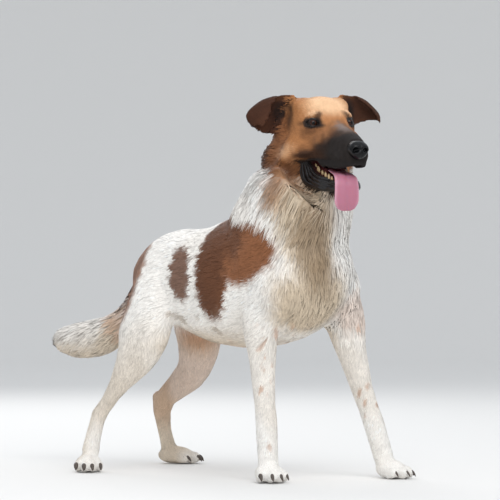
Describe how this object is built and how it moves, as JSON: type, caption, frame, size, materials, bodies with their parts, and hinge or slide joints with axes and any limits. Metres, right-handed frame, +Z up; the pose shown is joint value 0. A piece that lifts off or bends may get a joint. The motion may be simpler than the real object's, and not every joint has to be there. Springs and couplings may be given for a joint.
{
  "type": "standing dog figure",
  "caption": "Life-size still dog standing on four paws with its head turned to the right, mouth open, tongue out, ears folded and tail held low behind.",
  "frame": {"origin": "on the floor, under the middle of the bounding box", "axes": "+Z up; the dog faces -Y with its tail towards +Y; its left side is +X"},
  "size_m": [0.3762, 0.915, 0.7498],
  "materials": {
    "white_coat": "short to medium fur, white shading to cream",
    "tan_coat": "short fur, orange tan",
    "black_coat": "short black fur and lip skin",
    "brown_coat": "short dark brown fur",
    "nose_leather": "moist, pebbled",
    "tongue_skin": "wet",
    "claw_horn": "satin horn",
    "eye_surface": "wet gloss"
  },
  "bodies": {
    "root": {"claw_fore_left_1": "claw_horn", "claw_fore_left_2": "claw_horn", "claw_fore_left_3": "claw_horn", "claw_fore_left_4": "claw_horn", "claw_fore_right_1": "claw_horn", "claw_fore_right_2": "claw_horn", "claw_fore_right_3": "claw_horn", "claw_fore_right_4": "claw_horn", "claw_hind_left_1": "claw_horn", "claw_hind_left_2": "claw_horn", "claw_hind_left_3": "claw_horn", "claw_hind_left_4": "claw_horn", "claw_hind_right_1": "claw_horn", "claw_hind_right_2": "claw_horn", "claw_hind_right_3": "claw_horn", "claw_hind_right_4": "claw_horn", "ear_left": "brown_coat", "ear_right": "brown_coat", "eye_left": "eye_surface", "eye_right": "eye_surface", "fore_leg_left": "white_coat", "fore_leg_right": "white_coat", "fore_paw_left": "white_coat", "fore_paw_right": "white_coat", "head": "tan_coat", "hind_leg_left": "white_coat", "hind_leg_right": "white_coat", "hind_paw_left": "white_coat", "hind_paw_right": "white_coat", "lower_jaw": "black_coat", "neck": "white_coat", "nose": "nose_leather", "tail": "white_coat", "tongue": "tongue_skin", "trunk": "white_coat"}
  },
  "joints": []
}
